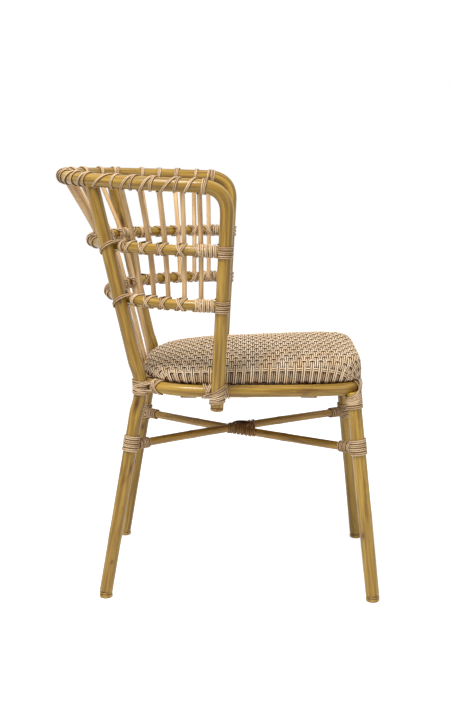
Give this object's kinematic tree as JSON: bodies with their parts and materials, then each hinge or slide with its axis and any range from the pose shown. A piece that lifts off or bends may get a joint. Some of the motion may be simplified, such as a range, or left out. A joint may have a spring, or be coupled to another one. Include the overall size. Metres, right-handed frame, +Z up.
{
  "type": "rattan bistro chair",
  "caption": "Rattan cafe chair of bent poles tied with cord, with a wrap-round spindle back, crossed stretchers and a crowned woven seat.",
  "frame": {"origin": "centre of the bounding box in plan, at floor level under the feet", "axes": "+Z up, -Y towards the sitter's front, +X towards the sitter's left"},
  "size_m": [0.5643, 0.6378, 0.8146],
  "materials": {
    "pole_cane": "glossy varnished olive-gold cane with brown mottling",
    "spindle_cane": "satin varnished tan cane",
    "binding_cord": "satin split-cane cord with dark lines",
    "woven_seat": "tight two-strand basket weave in cream and tan with dark gaps",
    "seat_support": "plain unfinished board",
    "end_cap": "varnished turned plug"
  },
  "bodies": {
    "root": {"top_rail_hoop": "pole_cane", "seat_ring": "pole_cane", "rear_pole_right": "pole_cane", "front_leg_right": "pole_cane", "rear_pole_left": "pole_cane", "front_leg_left": "pole_cane", "upper_mid_rail": "pole_cane", "lower_mid_rail": "pole_cane", "side_spindle_right_1": "spindle_cane", "side_spindle_right_2": "spindle_cane", "side_spindle_right_3": "spindle_cane", "side_spindle_right_4": "spindle_cane", "side_spindle_right_5": "spindle_cane", "side_spindle_left_1": "spindle_cane", "side_spindle_left_2": "spindle_cane", "side_spindle_left_3": "spindle_cane", "side_spindle_left_4": "spindle_cane", "side_spindle_left_5": "spindle_cane", "rear_spindle_1": "spindle_cane", "rear_spindle_2": "spindle_cane", "rear_spindle_3": "spindle_cane", "rear_spindle_4": "spindle_cane", "rear_spindle_5": "spindle_cane", "rear_spindle_6": "spindle_cane", "rear_spindle_7": "spindle_cane", "stretcher_over": "pole_cane", "stretcher_under": "pole_cane", "seat_pad": "woven_seat", "seat_board": "seat_support", "seat_bearer_front": "seat_support", "seat_bearer_rear": "seat_support", "foot_cap_rear_right": "end_cap", "foot_cap_front_right": "end_cap", "post_plug_right": "end_cap", "foot_cap_rear_left": "end_cap", "foot_cap_front_left": "end_cap", "post_plug_left": "end_cap", "lashing_rear_pole_stretcher_right": "binding_cord", "lashing_front_leg_stretcher_left": "binding_cord", "lashing_rear_pole_stretcher_left": "binding_cord", "lashing_front_leg_stretcher_right": "binding_cord", "lashing_stretcher_crossing": "binding_cord", "lashing_rear_pole_ring_right": "binding_cord", "lashing_rear_pole_ring_left": "binding_cord", "lashing_front_post_ring_right": "binding_cord", "lashing_front_post_ring_left": "binding_cord", "lashing_front_leg_ring_right": "binding_cord", "lashing_front_leg_ring_left": "binding_cord", "lashing_upper_rail_post_right": "binding_cord", "lashing_upper_rail_post_left": "binding_cord", "lashing_upper_rail_pole_right": "binding_cord", "lashing_upper_rail_pole_left": "binding_cord", "lashing_lower_rail_post_right": "binding_cord", "lashing_lower_rail_post_left": "binding_cord", "lashing_lower_rail_pole_right": "binding_cord", "lashing_lower_rail_pole_left": "binding_cord", "lashing_top_rail": "binding_cord", "lashing_upper_rail_spindles": "binding_cord", "lashing_lower_rail_spindles": "binding_cord"}
  },
  "joints": []
}
